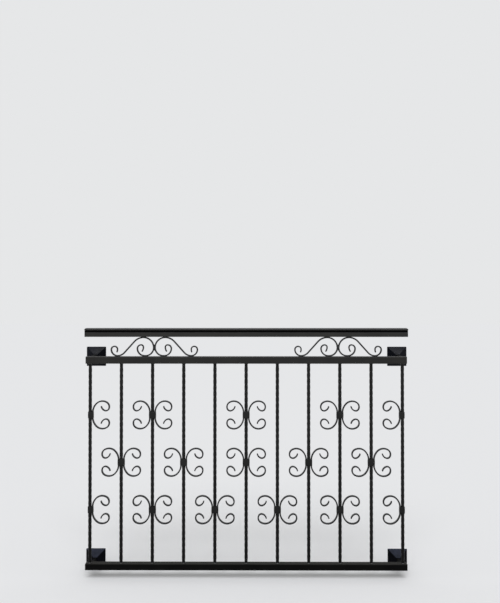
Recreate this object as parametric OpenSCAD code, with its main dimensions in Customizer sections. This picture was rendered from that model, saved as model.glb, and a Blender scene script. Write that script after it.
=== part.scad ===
// Wrought iron balcony railing for a tall window, carried off the wall by
// four arms. Millimetres, Z up, the street side faces -Y and the wall is the
// plane Y = 0. The origin is the middle of the back of the lower left wall
// plate, level with the middle of the lower arms.

/* [Railing] */
// Distance from one bar to the next
bar_pitch = 125; // [110:1:140]
// Height from the underside of the bottom rail to the top of the handrail
rail_height = 963; // [920:1:1080]
// Distance from the wall to the middle of the bars
stand_off = 135; // [100:1:180]

/* [Bars] */
// Side of the square bar
bar_side = 12; // [10:0.5:14]
// Rounding of the corners of the bar
bar_round = 3.5; // [2:0.25:4]
// Length of bar for one full turn of the twist
twist_pitch = 96; // [80:4:120]
// Plain length left at the foot and at the head of each bar
plain_end = 12; // [8:1:40]

/* [Rails] */
// Depth of both rails, front to back
rail_depth = 40; // [35:1:50]
// Height of the upper rail
upper_rail_tall = 28.5; // [25:0.5:32]
// Height of the bottom rail
bottom_rail_tall = 25; // [25:1:32]
// Wall thickness of the rail tubes
tube_wall = 2; // [1.5:0.5:3]
// Length of rail past the middle of an end bar
rail_overrun = 15.5; // [12:0.5:30]

/* [Handrail] */
// Width of the moulded cap
cap_wide = 46; // [42:1:54]
// Thickness of the moulded cap
cap_tall = 10; // [10:1:16]
// Rise of the rounded top of the cap
cap_crown = 4; // [2:0.5:5]
// Rounding of the long edges of the cap
cap_nose = 4.5; // [2:0.5:4.5]
// Height of the shadow groove under the cap
groove_tall = 6; // [3:0.5:8]
// Depth of the shadow groove behind the face of the tube
groove_recess = 8; // [4:0.5:12]
// Height of the tube under the cap
base_tall = 19.5; // [16:0.5:24]
// Length of the cap past the middle of an end bar
cap_overrun = 23; // [18:1:36]

/* [Scrolls] */
// Thickness of the scroll bar, as seen from the street
scroll_thick = 5.25; // [5:0.25:7]
// Depth of the scroll bar, front to back
scroll_deep = 12; // [10:1:14]
// Height of a C scroll
scroll_tall = 115.5; // [98:0.5:126]
// Distance between the rows of C scrolls
row_pitch = 189; // [170:1:200]
// Height of the middle row above the middle of the bars
row_lift = 3; // [-10:1:20]
// Height of a collar
collar_tall = 26; // [20:1:30]
// Thickness of the collar strap
collar_strap = 1; // [1:0.25:3]

/* [Frieze] */
// Clear height between the upper rail and the handrail
frieze_tall = 78.5; // [70:0.5:95]
// Distance from the middle of the railing to the middle of a scroll pair
frieze_offset = 368; // [330:1:380]

/* [Wall fixings] */
// Side of the square arms
arm_side = 12; // [12:1:24]
// Side of the wall plates
plate_side = 66; // [60:1:66]
// Thickness of the wall plates
plate_thick = 6; // [4:0.5:6]
// Distance between the screw holes of a plate
hole_pitch = 48; // [44:1:48]
// Diameter of the screw holes
hole_wide = 8.5; // [7:0.5:10]
// Side of the pressed covers
cover_side = 80; // [78:1:90]
// Depth of a cover, from the wall to its crest
cover_deep = 24; // [22:1:30]
// Height of the upright rim of a cover
rim_tall = 5; // [3:1:8]
// Sheet thickness of a cover
cover_sheet = 1.5; // [1:0.25:2]

/* [Hidden] */
$fn = 96;
bar_count = 11;
last_bar = bar_pitch * (bar_count - 1);
mid_x = last_bar / 2;

// The lower arms are flush with the underside of the bottom rail, the upper
// ones with the top of the upper rail
foot_z = -arm_side / 2;
bottom_mid = foot_z + bottom_rail_tall / 2;
bottom_top = foot_z + bottom_rail_tall;
hand_top = foot_z + rail_height;
base_top = hand_top - cap_tall - groove_tall;
base_foot = base_top - base_tall;
upper_top = base_foot - frieze_tall;
upper_foot = upper_top - upper_rail_tall;
upper_mid = upper_foot + upper_rail_tall / 2;
upper_arm = upper_top - arm_side / 2;

bar_len = upper_foot - bottom_top;
twist_len = bar_len - 2 * plain_end;
quarter_turns = round(twist_len * 4 / twist_pitch);
twist_slices = round(quarter_turns * 2.5);
// The rounded corner is drawn as one flat that reaches as far out
bar_flat = bar_side / 2 - bar_round * 2 / 3;

mid_row = bottom_top + bar_len / 2 + row_lift;
// The corner of the bar sweeps this radius as it twists
bar_reach = norm([bar_side / 2, bar_flat]);
// Hairline left between a bar and what is strapped to it
play = 0.1;
scroll_back = bar_reach + play + scroll_thick / 2;
// Height of the standard C scroll, from centre line to centre line
scroll_drawn = 110.1;
scroll_scale = (scroll_tall - scroll_thick) / scroll_drawn;
// The back of a scroll is a wide arc, so it bows a little inside the strap
standard_back = 120;
back_turn = 8;
back_radius = standard_back * scroll_scale;
// The curl of the standard C scroll closes in five bends, and its tip opens again
curl_radii = [50, 34, 21, 13, 22];
curl_turns = [37, 75, 80, 90, 57];
back_bow = pow(collar_tall / 2, 2) / (2 * back_radius);
strap_in = scroll_back + scroll_thick / 2 + back_bow;
collar_deep = 2 * (bar_reach + play + collar_strap);
// Inner rounding where the strap turns a corner
collar_bend = 0.8;

groove_deep = rail_depth - 2 * groove_recess;
// Outer rounding of the rail tubes
corner = 3;
// A plug closes a tube and holds in it with a shorter, slacker spigot
plug_thick = 2;
spigot_long = 6;
spigot_play = 0.2;
spigot_round = 1.5;
// The moulded cap stands out past the tube under it at both ends
cap_lip = 3;
base_overrun = cap_overrun - cap_lip;
// Rounding of the cap at its ends, seen from above
cap_end_round = 12;
// Degrees of bend between two stations of a scroll
bend_step = 7.5;
// Stations over which a tip is drawn down, and the share it loses
taper_span = 14;
tip_taper = 0.3;
// Rounding of the corners of a wall plate and of the edges of an arm
plate_round = 4;
arm_round = 1.5;
// Room round the arm in the hole of its cover
arm_play = 0.3;
// How far a cutting shape runs past the face that it opens
past = 1;
// Side of the flat crest of a cover, round the hole for the arm
cover_crest = arm_side + 4;
// Half the hairline that is left where two scrolls are welded together
weld_gap = 0.15;
// Height of the standard frieze scroll, from centre line to centre line
frieze_drawn = 74;
frieze_scale = (frieze_tall - scroll_thick) / frieze_drawn;

// Node to draw

iron = [0.11, 0.11, 0.12];
iron_edge = [0.15, 0.15, 0.16];
cover_black = [0.12, 0.13, 0.16];
plate_grey = [0.2, 0.2, 0.21];

// Shapes that repeat

// Rectangle with rounded corners, centred
module round_rect(wide, tall, r) {
    square([wide - 2 * r, tall], center = true);
    square([wide, tall - 2 * r], center = true);
    for (sx = [-1, 1], sy = [-1, 1])
        translate([sx * (wide / 2 - r), sy * (tall / 2 - r)])
            circle(r);
}

// Lays a profile drawn as depth by height along X, from x0 to x1
module along_x(x0, x1) {
    translate([x0, -stand_off, 0])
        rotate([90, 0, 90])
            linear_extrude(x1 - x0)
                children();
}

// Tube with rounded corners between its two plugs
module tube(overrun, deep, tall, mid_z) {
    translate([0, 0, mid_z])
        along_x(plug_thick - overrun, last_bar + overrun - plug_thick)
            difference() {
                round_rect(deep, tall, corner);
                round_rect(deep - 2 * tube_wall, tall - 2 * tube_wall, corner - tube_wall / 2);
            }
}

// Plug that closes the end of a tube, with a spigot inside it
module tube_plug(deep, tall) {
    linear_extrude(plug_thick)
        round_rect(deep, tall, corner);
    translate([0, 0, -spigot_long])
        linear_extrude(spigot_long)
            round_rect(
                deep - 2 * (tube_wall + spigot_play),
                tall - 2 * (tube_wall + spigot_play),
                spigot_round
            );
}

// The plugs on both ends of a tube
module tube_plugs(overrun, deep, tall, mid_z) {
    translate([last_bar + overrun - plug_thick, -stand_off, mid_z])
        rotate([90, 0, 90])
            tube_plug(deep, tall);
    translate([plug_thick - overrun, -stand_off, mid_z])
        rotate([90, 0, -90])
            tube_plug(deep, tall);
}

// A scroll is flat bar bent on edge, walked as a chain of bends. A bend is
// [radius, turn], left for a positive turn, and [run, 0] is a straight run.
// A station on the way is [x, y, heading]
function after_bend(at, r, turn) =
    let (s = sign(turn), h = at[2], e = h + turn)
    [at[0] + s * r * (sin(e) - sin(h)), at[1] - s * r * (cos(e) - cos(h)), e];

function after_run(at, run) = [at[0] + run * cos(at[2]), at[1] + run * sin(at[2]), at[2]];

function walk(at, bends, i = 0) =
    i == len(bends) ? [] :
    let (r = bends[i][0], turn = bends[i][1], n = ceil(abs(turn) / bend_step))
    turn == 0
        ? concat([after_run(at, r)], walk(after_run(at, r), bends, i + 1))
        : concat([for (k = [1 : n]) after_bend(at, r, turn * k / n)],
                 walk(after_bend(at, r, turn), bends, i + 1));

// One path out of two that leave the same station in opposite directions
function join(back, start, ahead) =
    concat([for (i = [len(back) - 1 : -1 : 0]) [back[i][0], back[i][1], back[i][2] + 180]],
           [start], ahead);

// Bar thickness at a station: full in the middle, drawn down toward each tip
function thickness(i, last) =
    scroll_thick * (1 - tip_taper * max(0, 1 - min(i, last - i) / taper_span));

// Point beside a station, away from it and turned from its heading
function beside(at, away, turn) = [at[0] + away * cos(at[2] + turn), at[1] + away * sin(at[2] + turn)];

// Edge of the bar along a path, rounded at both tips
function bar_outline(path) =
    let (last = len(path) - 1)
    concat(
        [for (i = [0 : last]) beside(path[i], thickness(i, last) / 2, -90)],
        [for (turn = [-45, 0, 45]) beside(path[last], thickness(last, last) / 2, turn)],
        [for (i = [last : -1 : 0]) beside(path[i], thickness(i, last) / 2, 90)],
        [for (turn = [135, 180, 225]) beside(path[0], thickness(0, last) / 2, turn)]
    );

// Flat bar bent along a path, lying flat with its middle at Z = 0
module bent_bar(path) {
    linear_extrude(scroll_deep, center = true)
        polygon(bar_outline(path));
}

// C scroll with the middle of its back at the origin and its curls toward +X
module c_scroll() {
    curl = [for (i = [0 : len(curl_radii) - 1]) [curl_radii[i] * scroll_scale, -curl_turns[i]]];
    up = concat([[back_radius, -back_turn]], curl);
    down = [for (b = up) [b[0], -b[1]]];
    bent_bar(join(walk([0, 0, -90], down), [0, 0, 90], walk([0, 0, 90], up)));
}

// C scrolls on one bar: sides lists 1 for the right and -1 for the left
module motif(bar, row, sides) {
    color(iron)
        translate([bar_pitch * (bar - 1), -stand_off, row_z(row)])
            rotate([90, 0, 0])
                for (s = sides)
                    mirror([s < 0 ? 1 : 0, 0, 0])
                        translate([scroll_back, 0, 0])
                            c_scroll();
}

// Height of a row of scrolls: -1 is the low row, 0 the middle and 1 the top
function row_z(row) = mid_row + row_pitch * row;

// Strap collar round a bar and the backs of its scrolls
module collar(bar, row, sides) {
    left = len([for (s = sides) if (s < 0) s]) > 0 ? strap_in : bar_reach + play;
    right = len([for (s = sides) if (s > 0) s]) > 0 ? strap_in : bar_reach + play;
    wide = left + right;
    deep = collar_deep - 2 * collar_strap;
    translate([bar_pitch * (bar - 1) + (right - left) / 2, -stand_off, row_z(row) - collar_tall / 2])
        linear_extrude(collar_tall)
            difference() {
                round_rect(wide + 2 * collar_strap, collar_deep, collar_bend + collar_strap);
                round_rect(wide, deep, collar_bend);
            }
}

// Square of the bar with its corners taken off
module bar_section() {
    half = bar_side / 2;
    polygon([
        [half, -bar_flat], [half, bar_flat], [bar_flat, half], [-bar_flat, half],
        [-half, bar_flat], [-half, -bar_flat], [-bar_flat, -half], [bar_flat, -half]
    ]);
}

// Square bar with a left-hand twist between two plain ends
module twisted_bar(bar) {
    color(iron)
        translate([bar_pitch * (bar - 1), -stand_off, bottom_top]) {
            linear_extrude(plain_end)
                bar_section();
            translate([0, 0, plain_end])
                linear_extrude(twist_len, twist = 90 * quarter_turns, slices = twist_slices, $fn = 4)
                    bar_section();
            translate([0, 0, plain_end + twist_len])
                linear_extrude(plain_end)
                    bar_section();
        }
}

// S scroll of the frieze. From its crest under the handrail the bar loops back
// to the middle of the pair, rests on the rail and curls up inside the loop;
// the other way a long leg runs down to the rail and ends in the outer curl
module s_scroll() {
    q = frieze_scale;
    lean = 44;
    crown = 41;
    shoulder = 40;
    heel = 32;
    leg = (frieze_drawn - (shoulder + heel) * (1 - cos(lean))) / sin(lean);
    crest = [weld_gap + scroll_thick / 2 + crown * q, frieze_tall - scroll_thick / 2];
    loop = [[crown, 90], [33, 90], [4, 0], [29, 90], [15, 90], [9.5, 90], [28, 35]];
    sweep = [[shoulder, -lean], [leg, 0], [heel, lean], [25, 90], [13, 90], [12, 90], [30, 20]];
    bent_bar(join(
        walk([crest[0], crest[1], 180], [for (b = loop) [b[0] * q, b[1]]]),
        [crest[0], crest[1], 0],
        walk([crest[0], crest[1], 0], [for (b = sweep) [b[0] * q, b[1]]])
    ));
}

// Two S scrolls back to back
module frieze_pair(x) {
    color(iron)
        translate([x, -stand_off, upper_top])
            rotate([90, 0, 0]) {
                s_scroll();
                mirror([1, 0, 0])
                    s_scroll();
            }
}

// Wall plate with four screw holes, its back on the wall
module plate(x, z) {
    color(plate_grey)
        translate([x, 0, z])
            rotate([90, 0, 0])
                difference() {
                    linear_extrude(plate_thick)
                        round_rect(plate_side, plate_side, plate_round);
                    for (sx = [-1, 1], sy = [-1, 1])
                        translate([sx * hole_pitch / 2, sy * hole_pitch / 2, -past])
                            cylinder(d = hole_wide, h = plate_thick + 2 * past);
                }
}

// Four-sided cover shape: an upright rim under a pyramid with a cut-off top
module cover_block(side, rim, deep, top) {
    intersection() {
        cover_ridge(side, rim, deep, top);
        rotate([0, 0, 90])
            cover_ridge(side, rim, deep, top);
    }
}

// The same outline as a ridge, its crest along Y
module cover_ridge(side, rim, deep, top) {
    translate([0, side / 2, 0])
        rotate([90, 0, 0])
            linear_extrude(side)
                cover_outline(side, rim, deep, top);
}

// Cover seen from the side: rim, slope and cut-off top
module cover_outline(side, rim, deep, top) {
    polygon([
        [-side / 2, 0], [side / 2, 0], [side / 2, rim],
        [top / 2, deep], [-top / 2, deep], [-side / 2, rim]
    ]);
}

// Pressed cover over a wall plate, with a square hole for the arm
module cover(x, z) {
    translate([x, 0, z])
        rotate([90, 0, 0])
            difference() {
                cover_block(cover_side, rim_tall, cover_deep, cover_crest);
                translate([0, 0, -cover_sheet])
                    cover_block(cover_side - 2 * cover_sheet, rim_tall, cover_deep, cover_crest);
                cube([arm_side + 2 * arm_play, arm_side + 2 * arm_play, 4 * cover_deep], center = true);
            }
}

// The pieces of the railing

// Domed moulding that the hand rests on, with the tongue that carries it
module handrail_cap() {
    crown_r = (pow(cap_wide / 2, 2) + pow(cap_crown, 2)) / (2 * cap_crown);
    crown_facets = 360;
    color(iron_edge) {
        // domed moulding with rounded edges and ends
        intersection() {
            translate([0, 0, hand_top - cap_tall])
                along_x(-cap_overrun, last_bar + cap_overrun)
                    intersection() {
                        translate([0, cap_tall / 2])
                            round_rect(cap_wide, cap_tall, cap_nose);
                        translate([0, cap_tall - crown_r])
                            circle(crown_r, $fn = crown_facets);
                    }
            translate([mid_x, -stand_off, hand_top - cap_tall - past])
                linear_extrude(cap_tall + 2 * past)
                    round_rect(last_bar + 2 * cap_overrun, cap_wide + 2 * past, cap_end_round);
        }
        // tongue that stands in the shadow groove
        translate([0, 0, hand_top - cap_tall - groove_tall])
            along_x(plug_thick - base_overrun, last_bar + base_overrun - plug_thick)
                translate([-groove_deep / 2, 0])
                    square([groove_deep, groove_tall]);
    }
}

// Flat tube that the tongue of the moulding stands on
module handrail_base() {
    color(iron)
        tube(base_overrun, rail_depth, base_tall, base_foot + base_tall / 2);
}

// Plugs in the tube under the moulding
module handrail_ends() {
    color(iron_edge)
        tube_plugs(base_overrun, rail_depth, base_tall, base_foot + base_tall / 2);
}

// Rail that the bars run up into and the frieze stands on
module upper_rail() {
    color(iron)
        tube(rail_overrun, rail_depth, upper_rail_tall, upper_mid);
}

// Rail that the bars stand on
module bottom_rail() {
    color(iron)
        tube(rail_overrun, rail_depth, bottom_rail_tall, bottom_mid);
}

// Plugs in the ends of both rails
module rail_ends() {
    color(iron_edge) {
        tube_plugs(rail_overrun, rail_depth, upper_rail_tall, upper_mid);
        tube_plugs(rail_overrun, rail_depth, bottom_rail_tall, bottom_mid);
    }
}

// Collars of the top row: an end bar carries a scroll on its inner side only
module collars_top() {
    color(iron_edge) {
        collar(1, 1, [1]);
        for (bar = [3, 6, 9])
            collar(bar, 1, [-1, 1]);
        collar(11, 1, [-1]);
    }
}

// Collars of the middle row, on every second bar
module collars_mid() {
    color(iron_edge)
        for (bar = [2 : 2 : 10])
            collar(bar, 0, [-1, 1]);
}

// Collars of the low row, on the bars that the middle row leaves free
module collars_low() {
    color(iron_edge) {
        collar(1, -1, [1]);
        for (bar = [3 : 2 : 9])
            collar(bar, -1, [-1, 1]);
        collar(11, -1, [-1]);
    }
}

// Square arms from the backs of the rails to the wall plates
module wall_arms() {
    color(iron)
        for (x = [0, last_bar], z = [0, upper_arm])
            translate([x, -stand_off + rail_depth / 2, z])
                rotate([-90, 0, 0])
                    linear_extrude(stand_off - rail_depth / 2 - plate_thick)
                        round_rect(arm_side, arm_side, arm_round);
}

// The four pressed covers, one over each plate
module wall_covers() {
    color(cover_black)
        for (x = [0, last_bar], z = [0, upper_arm])
            cover(x, z);
}

handrail_cap();
handrail_base();
handrail_ends();
upper_rail();
bottom_rail();
rail_ends();
twisted_bar(1);  // bar_01
twisted_bar(2);  // bar_02
twisted_bar(3);  // bar_03
twisted_bar(4);  // bar_04
twisted_bar(5);  // bar_05
twisted_bar(6);  // bar_06
twisted_bar(7);  // bar_07
twisted_bar(8);  // bar_08
twisted_bar(9);  // bar_09
twisted_bar(10);  // bar_10
twisted_bar(11);  // bar_11
motif(1, 1, [1]);  // scroll_top_01
motif(3, 1, [-1, 1]);  // scroll_top_03
motif(6, 1, [-1, 1]);  // scroll_top_06
motif(9, 1, [-1, 1]);  // scroll_top_09
motif(11, 1, [-1]);  // scroll_top_11
motif(2, 0, [-1, 1]);  // scroll_mid_02
motif(4, 0, [-1, 1]);  // scroll_mid_04
motif(6, 0, [-1, 1]);  // scroll_mid_06
motif(8, 0, [-1, 1]);  // scroll_mid_08
motif(10, 0, [-1, 1]);  // scroll_mid_10
motif(1, -1, [1]);  // scroll_low_01
motif(3, -1, [-1, 1]);  // scroll_low_03
motif(5, -1, [-1, 1]);  // scroll_low_05
motif(7, -1, [-1, 1]);  // scroll_low_07
motif(9, -1, [-1, 1]);  // scroll_low_09
motif(11, -1, [-1]);  // scroll_low_11
collars_top();
collars_mid();
collars_low();
frieze_pair(mid_x - frieze_offset);  // frieze_left
frieze_pair(mid_x + frieze_offset);  // frieze_right
wall_arms();
plate(0, upper_arm);  // plate_upper_left
plate(last_bar, upper_arm);  // plate_upper_right
plate(0, 0);  // plate_lower_left
plate(last_bar, 0);  // plate_lower_right
wall_covers();
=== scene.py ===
import math

import bpy
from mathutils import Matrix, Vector


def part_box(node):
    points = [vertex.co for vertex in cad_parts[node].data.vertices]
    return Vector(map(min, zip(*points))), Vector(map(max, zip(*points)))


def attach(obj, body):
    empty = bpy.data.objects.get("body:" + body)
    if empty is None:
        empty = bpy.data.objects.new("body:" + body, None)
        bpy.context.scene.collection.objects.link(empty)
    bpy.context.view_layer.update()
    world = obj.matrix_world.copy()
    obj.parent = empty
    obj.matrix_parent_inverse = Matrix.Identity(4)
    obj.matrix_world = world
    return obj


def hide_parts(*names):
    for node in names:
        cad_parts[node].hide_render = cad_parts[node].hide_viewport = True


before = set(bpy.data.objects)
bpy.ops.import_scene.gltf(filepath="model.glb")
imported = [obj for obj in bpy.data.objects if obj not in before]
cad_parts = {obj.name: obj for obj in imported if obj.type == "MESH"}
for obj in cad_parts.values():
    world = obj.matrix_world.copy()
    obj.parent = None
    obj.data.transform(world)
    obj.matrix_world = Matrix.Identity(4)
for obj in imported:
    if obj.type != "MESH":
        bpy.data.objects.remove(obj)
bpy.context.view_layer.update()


# The view
# Taken from across the street at the height of the handrail, square to the
# wall and looking up by less than a degree.

camera_data = bpy.data.cameras.new("street_view")
camera_data.sensor_width = 36
camera_data.lens = 51.2
camera = bpy.data.objects.new("street_view", camera_data)
camera.location = (0.6608, -3.575, 1.0111)
camera.rotation_euler = (math.radians(90.865), 0, math.radians(0.339))
bpy.context.scene.collection.objects.link(camera)
bpy.context.scene.camera = camera


# Upper and bottom rails, and the plugs in their ends
# Rectangular steel tube, 40 mm deep, cut to length and closed with pressed-in
# plugs. Like all of the railing it is brush-painted satin black over primer,
# and street dust settles on the faces that look up.

def linear(hex_colour):
    channels = [int(hex_colour[i:i + 2], 16) / 255 for i in (1, 3, 5)]
    return [c / 12.92 if c <= 0.04045 else ((c + 0.055) / 1.055) ** 2.4 for c in channels] + [1]


def add(tree, kind, inputs=None, **settings):
    # one node of a material, with its settings, its values and its links
    node = tree.nodes.new(kind)
    for name, value in settings.items():
        setattr(node, name, value)
    for name, value in (inputs or {}).items():
        if isinstance(value, bpy.types.NodeSocket):
            tree.links.new(value, node.inputs[name])
        else:
            node.inputs[name].default_value = value
    return node


def satin_black(name, colour, worn, dust_and_painted_light, roughness, shine, dent_mm, dent_deep_mm, dust_and_painted_light_amount,
                stroke=(1, 1, 1), foot=1, lies=(0.35, 0.95)):
    # Satin alkyd paint: a dielectric with a low, soft shine, flatter where rain
    # has chalked it. Brushing leaves faint ridges drawn out along the stroke, and
    # the iron under it keeps the flat dents of the hammer or the mill. foot is
    # how light the colour stays at street level, a painted shade over the lowest
    # half metre, and lies is how far up a face has to look before the colour
    # laid on faces that look up begins to lie on it and before it lies thick.
    # That colour is dust on most paints, a painted highlight on the lower covers
    # and a painted shade on the handrail tube.
    chalk_mm = 110
    speck_mm = 18
    smear_mm = 6
    # bristle marks are finer than this, and are drawn wider so that they show close up
    ridge_mm = 1.6
    ridge_deep_mm = 0.08
    foot_shade_height = 0.5
    material = bpy.data.materials.new(name)
    material.use_nodes = True
    tree = material.node_tree
    tree.nodes.clear()
    place = add(tree, "ShaderNodeTexCoord").outputs["Object"]

    # rain chalks the paint in patches a hand wide
    patches = add(tree, "ShaderNodeTexNoise", {
        "Vector": place, "Scale": 1000 / chalk_mm, "Detail": 4, "Roughness": 0.6})
    patch_mask = add(tree, "ShaderNodeMapRange", {
        "Value": patches.outputs["Fac"], "From Min": 0.38, "From Max": 0.66})
    coat = add(tree, "ShaderNodeMix", {
        "Factor": patch_mask.outputs["Result"], "A": linear(colour), "B": linear(worn)}, data_type="RGBA")

    # painted shade: the colour darkens over the lowest half metre, most at the foot
    height = add(tree, "ShaderNodeSeparateXYZ", {"Vector": place}).outputs["Z"]
    unshaded_share = add(tree, "ShaderNodeMapRange", {
        "Value": height, "From Min": 0, "From Max": foot_shade_height, "To Min": foot})
    shaded_to_foot = add(tree, "ShaderNodeVectorMath", {
        0: coat.outputs["Result"], "Scale": unshaded_share.outputs["Result"]}, operation="SCALE")

    # dust lies on what faces up, thicker in patches of about 20 mm; on the lower covers the same colour is a
    # painted highlight, and on the handrail tube a painted shade
    normal = add(tree, "ShaderNodeNewGeometry").outputs["Normal"]
    facing = add(tree, "ShaderNodeSeparateXYZ", {"Vector": normal})
    up = add(tree, "ShaderNodeMapRange", {
        "Value": facing.outputs["Z"], "From Min": lies[0], "From Max": lies[1]})
    specks = add(tree, "ShaderNodeTexNoise", {
        "Vector": place, "Scale": 1000 / speck_mm, "Detail": 6, "Roughness": 0.7})
    speck_mask = add(tree, "ShaderNodeMapRange", {
        "Value": specks.outputs["Fac"], "From Min": 0.3, "From Max": 0.72,
        "To Min": 0.35 * dust_and_painted_light_amount, "To Max": dust_and_painted_light_amount})
    dust_and_painted_light_mask = add(tree, "ShaderNodeMath", {
        0: up.outputs["Result"], 1: speck_mask.outputs["Result"]}, operation="MULTIPLY")
    surface = add(tree, "ShaderNodeMix", {
        "Factor": dust_and_painted_light_mask.outputs["Value"], "A": shaded_to_foot.outputs["Vector"], "B": linear(dust_and_painted_light)},
        data_type="RGBA")

    # fingers, rain and the brush break the shine, and the dust and painted light on faces that look up dull
    # it
    drawn = add(tree, "ShaderNodeMapping", {"Vector": place, "Scale": stroke}).outputs["Vector"]
    smears = add(tree, "ShaderNodeTexNoise", {
        "Vector": drawn, "Scale": 1000 / smear_mm, "Detail": 3, "Roughness": 0.55})
    smeared = add(tree, "ShaderNodeMapRange", {
        "Value": smears.outputs["Fac"], "From Min": 0.3, "From Max": 0.7,
        "To Min": roughness - 0.07, "To Max": roughness + 0.1})
    dulled = add(tree, "ShaderNodeMath", {
        0: dust_and_painted_light_mask.outputs["Value"], 1: 0.35, 2: smeared.outputs["Result"]},
        operation="MULTIPLY_ADD", use_clamp=True)

    dents = add(tree, "ShaderNodeTexVoronoi", {
        "Vector": place, "Scale": 1000 / dent_mm, "Smoothness": 0.8}, feature="SMOOTH_F1")
    dented = add(tree, "ShaderNodeBump", {
        "Height": dents.outputs["Distance"], "Strength": 0.6, "Distance": dent_deep_mm / 1000})
    ridges = add(tree, "ShaderNodeTexNoise", {"Vector": drawn, "Scale": 1000 / ridge_mm, "Detail": 2})
    brushed = add(tree, "ShaderNodeBump", {
        "Height": ridges.outputs["Fac"], "Strength": 0.5, "Distance": ridge_deep_mm / 1000,
        "Normal": dented.outputs["Normal"]})
    paint = add(tree, "ShaderNodeBsdfPrincipled", {
        "Base Color": surface.outputs["Result"], "Roughness": dulled.outputs["Value"], "IOR": 1.5,
        "Specular IOR Level": shine, "Normal": brushed.outputs["Normal"]})
    add(tree, "ShaderNodeOutputMaterial", {"Surface": paint.outputs["BSDF"]})
    return material


def dress(names, material):
    for name in names:
        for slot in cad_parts[name].material_slots:
            slot.material = material


along_rail = (0.05, 1, 1)
# weathered on smooth tube: an even, warm black with a broad, weak shine
rail_paint = satin_black(
    "satin_black_on_tube", colour="#11100e", worn="#191815", dust_and_painted_light="#454442", roughness=0.42, shine=0.23,
    dent_mm=30, dent_deep_mm=0.05, dust_and_painted_light_amount=0.3, stroke=along_rail)
dress(["upper_rail", "rail_ends"], rail_paint)
# the rail paint made darker as painted shade low down: flat and almost without shine, with more dust on top
shaded_low_rail_paint = satin_black(
    "black_on_low_tube_painted_in_shade", colour="#050505", worn="#090908", dust_and_painted_light="#45433f", roughness=0.5, shine=0.04,
    dent_mm=30, dent_deep_mm=0.05, dust_and_painted_light_amount=0.45, stroke=along_rail)
dress(["bottom_rail"], shaded_low_rail_paint)


# Handrail
# A rolled moulding with a domed top and rounded edges, rounded off again at
# both ends. A narrower bar joins it to a flat tube and leaves a deep groove
# between them, and a small stop closes the groove at each end.

def corner_ring(wide, deep, radius, per_corner=3):
    # points round a rectangle with rounded corners
    points = []
    for start, sx, sy in ((0, 1, 1), (90, -1, 1), (180, -1, -1), (270, 1, -1)):
        for k in range(per_corner):
            angle = math.radians(start + 90 * k / (per_corner - 1))
            points.append((sx * (wide / 2 - radius) + radius * math.cos(angle),
                           sy * (deep / 2 - radius) + radius * math.sin(angle)))
    return points


def skin(name, rings, material, closed=False, smooth=40):
    # one mesh over a row of rings of as many points, shut at both ends or joined up
    count = len(rings[0])
    vertices = [tuple(p) for ring in rings for p in ring]
    faces = []
    spans = len(rings) if closed else len(rings) - 1
    for i in range(spans):
        a = i * count
        b = (i + 1) % len(rings) * count
        for k in range(count):
            n = (k + 1) % count
            faces.append((a + k, a + n, b + n, b + k))
    if not closed:
        faces.append(tuple(reversed(range(count))))
        faces.append(tuple(range((len(rings) - 1) * count, len(rings) * count)))
    mesh = bpy.data.meshes.new(name)
    mesh.from_pydata(vertices, [], faces)
    mesh.materials.append(material)
    mesh.update()
    piece = bpy.data.objects.new(name, mesh)
    bpy.context.scene.collection.objects.link(piece)
    mesh.shade_smooth()
    mesh.set_sharp_from_angle(angle=math.radians(smooth))
    return piece


# hands keep it smoother and a little glossier than the rest
handrail_paint = satin_black(
    "satin_black_polished_by_hands", colour="#12110f", worn="#1b1a17", dust_and_painted_light="#434344", roughness=0.34,
    shine=0.32, dent_mm=40, dent_deep_mm=0.04, dust_and_painted_light_amount=0.2, stroke=along_rail)
# out of reach of hands, so duller, and its upper edge is blackened as painted shade under the moulding
tube_paint = satin_black(
    "satin_black_under_the_moulding", colour="#13120f", worn="#1c1b17", dust_and_painted_light="#050505", roughness=0.45,
    shine=0.28, dent_mm=30, dent_deep_mm=0.05, dust_and_painted_light_amount=1.6, stroke=along_rail, lies=(0.02, 0.3))
dress(["handrail_base", "handrail_ends"], tube_paint)
# painted shade: the tongue at the bottom of the groove is near black and without any shine
groove_shade_paint = satin_black(
    "painted_shade_in_the_groove", colour="#030303", worn="#080807", dust_and_painted_light="#0d0c0b", roughness=0.8, shine=0.04,
    dent_mm=30, dent_deep_mm=0.05, dust_and_painted_light_amount=0.3)

cap_low, cap_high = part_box("handrail_cap")
base_low, base_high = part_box("handrail_base")
cap_tall = 0.010
cap_foot = cap_high.z - cap_tall
cap_half = (cap_high.y - cap_low.y) / 2
cap_mid = (cap_high.y + cap_low.y) / 2

# one side of the section, from its underside round the nose and up to the crown
nose_radius = 0.0045
dome_half = 0.0216
dome_radius = 0.0681
dome_steps = 12
side_line = []
for angle in range(-90, 11, 10):
    side_line.append((cap_half - nose_radius + nose_radius * math.cos(math.radians(angle)),
                      nose_radius + nose_radius * math.sin(math.radians(angle))))
for k in range(dome_steps):
    y = dome_half * (1 - k / dome_steps)
    side_line.append((y, cap_tall - y * y / (2 * dome_radius)))
cap_line = side_line + [(0, cap_tall)] + [(-y, z) for y, z in reversed(side_line)]

end_round = 0.012
end_angles = (3, 15, 30, 45, 60, 75, 90)
end_steps = [end_round * (1 - math.cos(math.radians(angle))) for angle in end_angles]
station_gap = 0.1
station_count = int((cap_high.x - cap_low.x) / station_gap)
stations = [cap_low.x + d for d in end_steps]
stations += [cap_low.x + station_gap * k for k in range(1, station_count + 1)]
stations += [cap_high.x - d for d in reversed(end_steps)]


def cut_back(d, reach, height):
    # quarter of an ellipse: height at the very end, nothing from reach inward
    return height * (1 - math.sqrt(max(0, 1 - max(0, 1 - d / reach) ** 2)))


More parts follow.
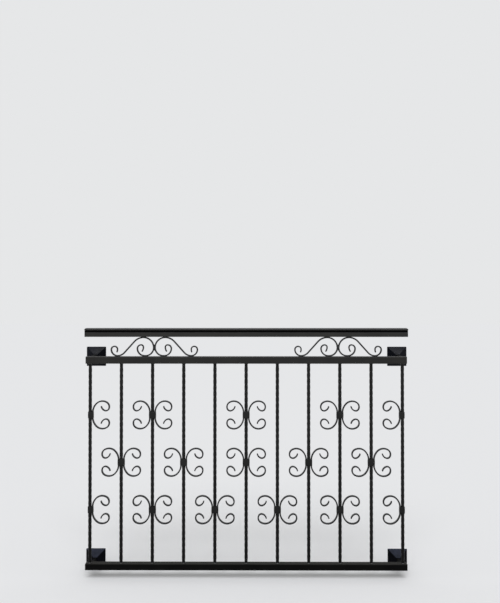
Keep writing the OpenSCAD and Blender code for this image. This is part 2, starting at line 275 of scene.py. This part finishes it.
# at both ends the section shrinks to a low round nose, from above and from below
nose_middle = 0.0028
dome_reach = 0.0085
dome_drop = 0.95
nose_drop = 0.9
rings = []
for x in stations:
    d = min(x - cap_low.x, cap_high.x - x)
    wide_share = 1 - cut_back(d, end_round, end_round) / cap_half
    over = 1 - cut_back(d, dome_reach, dome_drop)
    under = 1 - cut_back(d, nose_middle, nose_drop)
    ring = []
    for y, z in cap_line:
        tall_share = over if z > nose_middle else under
        ring.append((x, cap_mid + y * wide_share, cap_foot + nose_middle + (z - nose_middle) * tall_share))
    rings.append(ring)
moulding = skin("handrail_moulding", rings, handrail_paint, smooth=50)
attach(moulding, "root")
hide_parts("handrail_cap")

groove_mid = (base_high.z + cap_foot) / 2
groove_tall = cap_foot - base_high.z
tongue_wide = 0.024
tongue_edge = 0.0005
# the tongue bites this far into the moulding and the tube, and the stops stay clear of them
bite = 0.0002
clear = 0.0001
rings = []
for x in (base_low.x, base_high.x):
    rings.append([(x, cap_mid + y, groove_mid + z)
                  for y, z in corner_ring(tongue_wide, groove_tall + 2 * bite, tongue_edge)])
tongue = skin("handrail_tongue", rings, groove_shade_paint)
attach(tongue, "root")
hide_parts("handrail_cap")

end_low, end_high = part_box("handrail_ends")
stop_thick = end_high.x - base_high.x
stop_wide = 0.0396
stop_edge = 0.0004
for name, start in (("left", end_low.x), ("right", end_high.x - stop_thick)):
    rings = []
    for x in (start, start + stop_thick):
        rings.append([(x, cap_mid + y, groove_mid + z)
                      for y, z in corner_ring(stop_wide, groove_tall - 2 * clear, stop_edge)])
    stop = skin("groove_stop_" + name, rings, handrail_paint)
    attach(stop, "root")


# Twisted bars
# Eleven 12 mm square bars, twisted to the left through eight full turns
# between two short plain ends. The mill leaves their corners well rounded, so
# the twist shows as a soft ripple along each edge.

# brushed up and down: the smoothest paint here, with a small clear shine on each turn, and darkened toward
# the foot as painted shade
bar_paint = satin_black(
    "satin_black_on_twisted_bar", colour="#161615", worn="#1c1c1b", dust_and_painted_light="#383838", roughness=0.30,
    shine=0.10, dent_mm=14, dent_deep_mm=0.06, dust_and_painted_light_amount=0.3, stroke=(1, 1, 0.08), foot=0.25)
bar_count = 11
bar_pitch = 0.125
bar_side = 0.012
bar_round = 0.0044
# several coats of paint stand out this far from the iron on every side
coats = 0.00025
plain_end = 0.012
quarter_turns = 32
rings_per_quarter = 12
bar_low, bar_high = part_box("bar_01")
bar_y = (bar_low.y + bar_high.y) / 2
twist_length = bar_high.z - bar_low.z - 2 * plain_end
twist_steps = quarter_turns * rings_per_quarter
heights = [bar_low.z, bar_low.z + plain_end / 2]
heights += [bar_low.z + plain_end + twist_length * k / twist_steps for k in range(twist_steps + 1)]
heights += [bar_high.z - plain_end / 2, bar_high.z]
bar_square = corner_ring(bar_side + 2 * coats, bar_side + 2 * coats, bar_round, 5)


def bar_x(number):
    return bar_pitch * (number - 1)


for number in range(1, bar_count + 1):
    rings = []
    for z in heights:
        turned = min(1, max(0, (z - bar_low.z - plain_end) / twist_length))
        angle = -math.radians(90 * quarter_turns) * turned
        c = math.cos(angle)
        s = math.sin(angle)
        rings.append([(bar_x(number) + x * c - y * s, bar_y + x * s + y * c, z) for x, y in bar_square])
    bar = skin("twisted_bar_%02d" % number, rings, bar_paint, smooth=50)
    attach(bar, "root")
    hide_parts("bar_%02d" % number)


# C scrolls
# Flat bar, 12 by 5 mm, bent on edge round a jig. Each tip is drawn down
# thinner under the hammer before it is curled in, and its edges are dressed.

def walk(at, bends, step=5.0, run_step=0.006):
    # Places and headings along a chain of bends. A bend is its radius and the
    # degrees that it turns, and with no turn it is the length of a straight run.
    stations = []
    x, y, heading = at
    for radius, turn in bends:
        h = math.radians(heading)
        if turn == 0:
            count = max(1, math.ceil(radius / run_step))
            for k in range(1, count + 1):
                d = radius * k / count
                stations.append((x + d * math.cos(h), y + d * math.sin(h), heading))
        else:
            side = 1 if turn > 0 else -1
            count = max(1, math.ceil(abs(turn) / step))
            for k in range(1, count + 1):
                turned = heading + turn * k / count
                e = math.radians(turned)
                stations.append((x + side * radius * (math.sin(e) - math.sin(h)),
                                 y - side * radius * (math.cos(e) - math.cos(h)), turned))
        x, y, heading = stations[-1]
    return stations


def both_ways(back, start, ahead):
    # one path out of two that leave the same place in opposite directions
    return [(x, y, h + 180) for x, y, h in reversed(back)] + [start] + ahead


scroll_thick = 0.00525
scroll_deep = 0.012
# length of a drawn-down tip, the share of thickness that it loses, and the dressed edge
tip_length = 0.055
tip_taper = 0.13
edge_radius = 0.0012
# and where the tip is thin, its edge is this share of the thickness at most
edge_share = 0.45
# each ring of the round tip: its place in half thicknesses past the end, and the share left
tip_rings = ((0.4, 0.92), (0.75, 0.68), (0.95, 0.35))


def flat_bar(name, path, middle, side, material):
    # the path stands upright, facing the street, and a side of -1 turns it half round
    painted = scroll_thick + 2 * coats
    run = [0]
    for a, b in zip(path, path[1:]):
        run.append(run[-1] + math.hypot(b[0] - a[0], b[1] - a[1]))

    def ring(station, thick, deep, ahead=0.0):
        x, y, heading = station
        h = math.radians(heading)
        points = []
        for across, depth in reversed(corner_ring(thick, deep, min(edge_radius, edge_share * thick))):
            u = x + ahead * math.cos(h) - across * math.sin(h)
            v = y + ahead * math.sin(h) + across * math.cos(h)
            points.append((middle[0] + side * u, middle[1] + side * depth, middle[2] + v))
        return points

    rings = []
    for i, station in enumerate(path):
        to_tip = min(run[i], run[-1] - run[i])
        lost = tip_taper * max(0, 1 - to_tip / tip_length)
        rings.append(ring(station, painted * (1 - lost), scroll_deep))
    thick = painted * (1 - tip_taper)
    for ahead, share in tip_rings:
        deep = scroll_deep - thick * (1 - share)
        rings.append(ring(path[-1], thick * share, deep, ahead * thick / 2))
        rings.insert(0, ring(path[0], thick * share, deep, -ahead * thick / 2))
    return skin(name, rings, material)


# a shade greyer than the paint on the bars, and darkened toward the foot as painted shade
scroll_paint = satin_black(
    "satin_black_on_bent_flat_bar", colour="#181818", worn="#222221", dust_and_painted_light="#444444", roughness=0.38,
    shine=0.27, dent_mm=9, dent_deep_mm=0.12, dust_and_painted_light_amount=0.3, foot=0.5)

# the curl is drawn for a scroll of the standard height and scaled to this one
scroll_tall = 0.1155
standard_tall = 0.1101
scroll_scale = (scroll_tall - scroll_thick) / standard_tall
back_radius = 0.120
standard_curl = (
    (back_radius, -8), (0.050, -37), (0.034, -75), (0.021, -80), (0.013, -90), (0.022, -57))
upper_curl = [(r * scroll_scale, turn) for r, turn in standard_curl]
lower_curl = [(r, -turn) for r, turn in upper_curl]
c_path = both_ways(walk((0, 0, -90), lower_curl), (0, 0, 90), walk((0, 0, 90), upper_curl))

# the back of a scroll stands just clear of the circle that the bar's corners sweep
mill_round = 0.0035
play = 0.0001
bar_reach = math.hypot(bar_side / 2, bar_side / 2 - mill_round * 2 / 3)
scroll_back = bar_reach + play + scroll_thick / 2
rows = {"top": (1, 3, 6, 9, 11), "mid": (2, 4, 6, 8, 10), "low": (1, 3, 5, 7, 9, 11)}
for row, bars in rows.items():
    for number in bars:
        node = "scroll_%s_%02d" % (row, number)
        low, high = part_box(node)
        # an end bar has a scroll on its inner side only
        sides = {1: [1], bar_count: [-1]}.get(number, [-1, 1])
        for side in sides:
            name = "c_scroll_%s_%02d_%s" % (row, number, "right" if side > 0 else "left")
            middle = (bar_x(number) + side * scroll_back, bar_y, (low.z + high.z) / 2)
            scroll = flat_bar(name, c_path, middle, side, scroll_paint)
            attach(scroll, "root")
            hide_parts(node)


# Collars
# Thin strap, 26 mm wide and a little domed, wrapped hot round a bar and the
# backs of its scrolls, hammered down, and lapped on the room side.

def joined(name, parts, smooth=40):
    # many meshes of one material made into one piece
    vertices = []
    faces = []
    material = parts[0].data.materials[0]
    for part in parts:
        base = len(vertices)
        mesh = part.data
        vertices += [tuple(v.co) for v in mesh.vertices]
        faces += [tuple(base + i for i in p.vertices) for p in mesh.polygons]
        bpy.data.objects.remove(part)
        bpy.data.meshes.remove(mesh)
    mesh = bpy.data.meshes.new(name)
    mesh.from_pydata(vertices, [], faces)
    mesh.materials.append(material)
    mesh.update()
    piece = bpy.data.objects.new(name, mesh)
    bpy.context.scene.collection.objects.link(piece)
    mesh.shade_smooth()
    mesh.set_sharp_from_angle(angle=math.radians(smooth))
    return piece


# the paint follows small deep hammer marks, so the shine breaks up on the strap, and it is darkened toward
# the foot as painted shade
collar_paint = satin_black(
    "satin_black_on_strap", colour="#181817", worn="#1f1f1e", dust_and_painted_light="#3b3b3b", roughness=0.36, shine=0.12,
    dent_mm=9, dent_deep_mm=0.25, dust_and_painted_light_amount=0.3, foot=0.4)
strap = 0.001
strap_edge = 0.00045
strap_bend = 0.0018
# hammered down hot, it presses this far into what it holds
strap_grip = 0.0004
# it bulges across its width, and along its front
strap_dome = 0.0004
strap_bow = 0.0006
dome_places = (-0.36, -0.2, 0, 0.2, 0.36)
bow_places = (-0.6, -0.3, 0, 0.3, 0.6)
# the last stretch steps up over the first and ends past the middle of the back
lap_foot = 0.0030
lap_head = 0.0010
lap_end = -0.0055
lap_rise = 0.0011
for row, bars in rows.items():
    low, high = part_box("collars_" + row)
    collar_z = (low.z + high.z) / 2
    collar_tall = high.z - low.z
    deep = high.y - low.y - strap
    profile = corner_ring(strap, collar_tall, strap_edge)
    profile += [(strap / 2 + strap_dome * (1 - 4 * u * u), u * collar_tall) for u in dome_places]
    back_bow = (collar_tall / 2) ** 2 / (2 * back_radius * scroll_scale)
    parts = []
    for number in bars:
        left = right = scroll_back + scroll_thick / 2 + back_bow
        if number == 1:
            left = bar_reach + play
        if number == bar_count:
            right = bar_reach + play
        mid_x = bar_x(number) + (right - left) / 2
        wide = left + right + strap - 2 * strap_grip
        bends = corner_ring(wide, deep, strap_bend, 4)
        front = [(wide / 2 * u, -deep / 2 - strap_bow * (1 - u * u)) for u in bow_places]
        wrap = [(0, deep / 2)] + bends[4:12] + front + bends[12:] + bends[:4]
        wrap += [(lap_foot, deep / 2), (lap_head, deep / 2 + lap_rise), (lap_end, deep / 2 + lap_rise)]
        rings = []
        for k, (x, y) in enumerate(wrap):
            before = wrap[max(0, k - 1)]
            after = wrap[min(len(wrap) - 1, k + 1)]
            heading = math.atan2(after[1] - before[1], after[0] - before[0])
            out = (math.sin(heading), -math.cos(heading))
            rings.append([(mid_x + x + t * out[0], bar_y + y + t * out[1], collar_z + z)
                          for t, z in reversed(profile)])
        parts.append(skin("strap", rings, collar_paint))
    collars = joined("collars_%s_row" % row, parts)
    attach(collars, "root")
    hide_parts("collars_" + row)


# Frieze scrolls
# The same flat bar bent into long S scrolls. Two stand back to back under the
# handrail and carry it, welded to each other and to both rails.

upper_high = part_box("upper_rail")[1]
frieze_tall = base_low.z - upper_high.z
# drawn for the standard height between centre lines and scaled to this one
standard_frieze = 0.074
frieze_scale = (frieze_tall - scroll_thick) / standard_frieze
lean = 48
shoulder = 0.050
heel = 0.0375
lean_drop = (shoulder + heel) * (1 - math.cos(math.radians(lean)))
leg = (standard_frieze - lean_drop) / math.sin(math.radians(lean))
loop_radius = 0.041
weld_gap = 0.00015
crest_x = weld_gap + scroll_thick / 2 + loop_radius * frieze_scale
crest_z = frieze_tall - scroll_thick / 2
loop = (
    (loop_radius, 90), (0.033, 90), (0.004, 0), (0.029, 90), (0.015, 90), (0.0095, 90), (0.028, 35))
sweep = (
    (shoulder, -lean), (leg, 0), (heel, lean), (0.025, 90), (0.013, 90), (0.012, 90), (0.030, 20))
s_path = both_ways(
    walk((crest_x, crest_z, 180), [(r * frieze_scale, turn) for r, turn in loop]),
    (crest_x, crest_z, 0),
    walk((crest_x, crest_z, 0), [(r * frieze_scale, turn) for r, turn in sweep]))
for node in ("frieze_left", "frieze_right"):
    low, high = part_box(node)
    middle = ((low.x + high.x) / 2, bar_y, upper_high.z)
    for side in (-1, 1):
        name = "s_scroll_%s_%s" % (node[7:], "right" if side > 0 else "left")
        scroll = flat_bar(name, s_path, middle, side, scroll_paint)
        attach(scroll, "root")
        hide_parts(node)


# Wall arms and plates
# Square arms run back from the rails to plates screwed to the wall. They are
# seldom painted as well as the front, and the plates keep their primer.

# one thin coat in the shade of the rails: nearly black and without much shine
arm_paint = satin_black(
    "satin_black_on_arm", colour="#070707", worn="#0d0d0c", dust_and_painted_light="#2a2a29", roughness=0.5, shine=0.06,
    dent_mm=25, dent_deep_mm=0.05, dust_and_painted_light_amount=0.1, stroke=(1, 0.06, 1))
dress(["wall_arms"], arm_paint)
# flat dark grey primer, which shows only from the room side
plate_paint = satin_black(
    "dark_primer_on_plate", colour="#2b2c2e", worn="#343537", dust_and_painted_light="#4a4a4a", roughness=0.6, shine=0.3,
    dent_mm=40, dent_deep_mm=0.03, dust_and_painted_light_amount=0.1)
dress(["plate_upper_left", "plate_upper_right", "plate_lower_left", "plate_lower_right"], plate_paint)


# Wall covers
# Each plate is hidden by a cover pressed from 1.5 mm sheet: an upright rim, four
# faces that swell a little, soft creases and a turned-in edge round the arm.

# sprayed on smooth sheet: a colder black than the brushed iron, and the blue in it is a painted reflection
# of the sky
cover_paint = satin_black(
    "blue_black_on_pressed_sheet", colour="#04050b", worn="#090c14", dust_and_painted_light="#2b2f38", roughness=0.30,
    shine=0.10, dent_mm=45, dent_deep_mm=0.06, dust_and_painted_light_amount=0.2)
# near the street: the faces that look up are painted a lighter blue-grey in dusty patches, a painted
# highlight of the sky, and the rest is darker than on the upper covers, a painted shade
low_cover_paint = satin_black(
    "blue_black_on_pressed_sheet_painted_lit_and_shaded", colour="#030407", worn="#05060b", dust_and_painted_light="#363a46", roughness=0.34,
    shine=0.05, dent_mm=45, dent_deep_mm=0.06, dust_and_painted_light_amount=1.0, lies=(0.2, 0.55))
arm_low, arm_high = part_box("wall_arms")
arm_side = 0.012
# each ring is half the width, the distance from the wall and the rounding of the corners
rim = [(0.0400, 0.0000, 0.0030), (0.0400, 0.0036, 0.0030), (0.0397, 0.0045, 0.0030),
       (0.0389, 0.0053, 0.0030)]
face_steps = 9
face_swell = 0.0005
face_run = 0.0304
face_rise = 0.0180
crease_loss = 0.0018
foot_half, foot_out, foot_round = rim[-1]
faces = []
for k in range(1, face_steps):
    t = k / face_steps
    swell = face_swell * math.sin(math.pi * t)
    faces.append((foot_half - face_run * t + swell / 2,
                  foot_out + face_rise * t + swell,
                  foot_round - crease_loss * t))
crest = [(0.0085, 0.0235, 0.0012), (0.0077, 0.0239, 0.0010), (0.0070, 0.0240, 0.0008),
         (0.0064, 0.0237, 0.0006)]
inside = [(0.0064, 0.0222, 0.0006), (0.0078, 0.0219, 0.0008), (0.0379, 0.0041, 0.0016),
          (0.0385, 0.0034, 0.0015), (0.0385, 0.0000, 0.0015)]
arm_left = arm_low.x + arm_side / 2
arm_right = arm_high.x - arm_side / 2
arm_bottom = arm_low.z + arm_side / 2
arm_top = arm_high.z - arm_side / 2
for name, x, z, paint in (
        ("cover_upper_left", arm_left, arm_top, cover_paint),
        ("cover_upper_right", arm_right, arm_top, cover_paint),
        ("cover_lower_left", arm_left, arm_bottom, low_cover_paint),
        ("cover_lower_right", arm_right, arm_bottom, low_cover_paint)):
    rings = []
    for half, out, rounding in rim + faces + crest + inside:
        rings.append([(x + px, -out, z + pz) for px, pz in corner_ring(2 * half, 2 * half, rounding, 6)])
    cover = skin(name, rings, paint, closed=True)
    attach(cover, "root")
    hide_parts("wall_covers")


# Welds
# Short beads round both ends of every bar, where the frieze scrolls touch the
# rails and each other, and round the arms. They are brushed over with the rest
# and keep the ripple of the weld pool.

def bead(start, end, wide, tall, across, sides=8, steps=13):
    ripple = 0.0024
    ripple_share = 0.07
    a = Vector(start)
    along = Vector(end) - a
    length = along.length
    along.normalize()
    u = Vector(across)
    v = along.cross(u)
    rings = []
    for i in range(steps):
        t = i / (steps - 1)
        # nearly full height for most of its length, then round at both ends
        full = max(0.02, 1 - abs(2 * t - 1) ** 3) ** 0.5
        # the ripple starts at another place on every bar
        full *= 1 + ripple_share * math.sin(2 * math.pi * t * length / ripple + 40 * a.x)
        ring = []
        for k in range(sides):
            angle = 2 * math.pi * k / sides
            ring.append(tuple(a + along * (length * t)
                              + u * (wide * full * math.cos(angle))
                              + v * (tall * full * math.sin(angle))))
        rings.append(ring)
    return skin("bead", rings, weld_paint, smooth=80)


# rough metal under thick paint: a lumpy, wetter shine than on the bars
weld_paint = satin_black(
    "satin_black_on_weld", colour="#171717", worn="#222221", dust_and_painted_light="#4a4a4a", roughness=0.36, shine=0.5,
    dent_mm=4, dent_deep_mm=0.25, dust_and_painted_light_amount=0.3)
# the width of a bead runs front to back or up and down
in_depth = (0, 1, 0)
upright = (0, 0, 1)
# a bead lies along a side of the square bar or arm, this far from its middle
bead_out = 0.0062
bar_bead_half = 0.0056
front_bead = 0.0022
side_bead = 0.0020
parts = []
for number in range(1, bar_count + 1):
    x = bar_x(number)
    for z in (bar_low.z, bar_high.z):
        for out in (-bead_out, bead_out):
            parts.append(bead(
                (x - bar_bead_half, bar_y + out, z), (x + bar_bead_half, bar_y + out, z),
                front_bead, front_bead, in_depth))
            parts.append(bead(
                (x + out, bar_y - bar_bead_half, z), (x + out, bar_y + bar_bead_half, z),
                side_bead, side_bead, upright))
bar_welds = joined("welds_of_bars", parts)
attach(bar_welds, "root")

# wherever a frieze scroll comes down to the upper rail there is a weld, and one at its crest
frieze_bead_half = 0.010
frieze_bead_tall = 0.0017
frieze_bead_deep = 0.0050
back_bead_half = 0.0125
back_bead_wide = 0.0022
# beads are sunk this far into the rails, and iron nearer to a rail than this touches it
sunk = 0.0002
near = 0.0006
touches = [(crest_x, frieze_tall - sunk)]
for before, here, after in zip(s_path, s_path[1:], s_path[2:]):
    if here[1] < scroll_thick / 2 + near and here[1] <= before[1] and here[1] <= after[1]:
        touches.append((here[0], sunk))
parts = []
for node in ("frieze_left", "frieze_right"):
    low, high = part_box(node)
    mid_x = (low.x + high.x) / 2
    for side in (-1, 1):
        for u, v in touches:
            x = mid_x + side * u
            z = upper_high.z + v
            parts.append(bead(
                (x - frieze_bead_half, bar_y, z), (x + frieze_bead_half, bar_y, z),
                frieze_bead_deep, frieze_bead_tall, in_depth, sides=10, steps=17))
    z = upper_high.z + crest_z - loop_radius * frieze_scale
    parts.append(bead(
        (mid_x, bar_y, z - back_bead_half), (mid_x, bar_y, z + back_bead_half),
        frieze_bead_deep, back_bead_wide, in_depth, sides=10, steps=21))
frieze_welds = joined("welds_of_frieze", parts)
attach(frieze_welds, "root")

# beads on three sides of each arm, where it leaves the back of its rail
arm_bead_half = 0.0050
arm_bead = 0.0018
rail_back = upper_high.y
parts = []
for x in (arm_left, arm_right):
    for z, inner in ((arm_top, -1), (arm_bottom, 1)):
        for out in (-bead_out, bead_out):
            parts.append(bead(
                (x + out, rail_back, z - arm_bead_half), (x + out, rail_back, z + arm_bead_half),
                arm_bead, arm_bead, in_depth))
        edge = z + inner * bead_out
        parts.append(bead(
            (x - arm_bead_half, rail_back, edge), (x + arm_bead_half, rail_back, edge),
            arm_bead, arm_bead, in_depth))
arm_welds = joined("welds_of_arms", parts)
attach(arm_welds, "root")


# Floor and light
# A pale floor just under the railing and an even pale surround. The light is
# as wide and soft as an overcast sky over the street, from above and in front.

# matt and a little warm, so that only the soft shadow of the railing shows on it
floor_material = bpy.data.materials.new("pale_floor")
floor_material.use_nodes = True
tree = floor_material.node_tree
tree.nodes.clear()
matt = add(tree, "ShaderNodeBsdfDiffuse", {"Color": linear("#ecebe8")})
add(tree, "ShaderNodeOutputMaterial", {"Surface": matt.outputs["BSDF"]})
floor_level = -0.045
floor_reach = 90
floor_corners = [(-floor_reach, -floor_reach, floor_level), (floor_reach, -floor_reach, floor_level),
                 (floor_reach, floor_reach, floor_level), (-floor_reach, floor_reach, floor_level)]
floor_mesh = bpy.data.meshes.new("pale_floor")
floor_mesh.from_pydata(floor_corners, [], [(0, 1, 2, 3)])
floor_mesh.materials.append(floor_material)
floor = bpy.data.objects.new("pale_floor", floor_mesh)
bpy.context.scene.collection.objects.link(floor)

sky_height = 42
sky = bpy.data.lights.new("soft_sky", "SUN")
sky.angle = math.radians(36)
sky.energy = 2.4
sky.color = linear("#f6f8ff")[:3]
sky_light = bpy.data.objects.new("soft_sky", sky)
sky_light.rotation_euler = (math.radians(90 - sky_height), 0, 0)
bpy.context.scene.collection.objects.link(sky_light)

# what the eye and the shine of the paint see is paler than what lights the iron
world = bpy.data.worlds.new("pale_surround")
bpy.context.scene.world = world
world.use_nodes = True
tree = world.node_tree
tree.nodes.clear()
ray = add(tree, "ShaderNodeLightPath")
mirrored = add(tree, "ShaderNodeMath", {
    0: ray.outputs["Is Camera Ray"], 1: ray.outputs["Is Glossy Ray"]}, operation="MAXIMUM")
shown = add(tree, "ShaderNodeMath", {
    0: mirrored.outputs["Value"], 1: ray.outputs["Is Transmission Ray"]}, operation="MAXIMUM")
seen = add(tree, "ShaderNodeBackground", {"Color": linear("#e6e7e8"), "Strength": 1.0})
lit = add(tree, "ShaderNodeBackground", {"Color": linear("#eef0f3"), "Strength": 0.55})
both = add(tree, "ShaderNodeMixShader", {
    0: shown.outputs["Value"], 1: lit.outputs["Background"], 2: seen.outputs["Background"]})
add(tree, "ShaderNodeOutputWorld", {"Surface": both.outputs["Shader"]})

bpy.context.scene.view_settings.view_transform = "Standard"
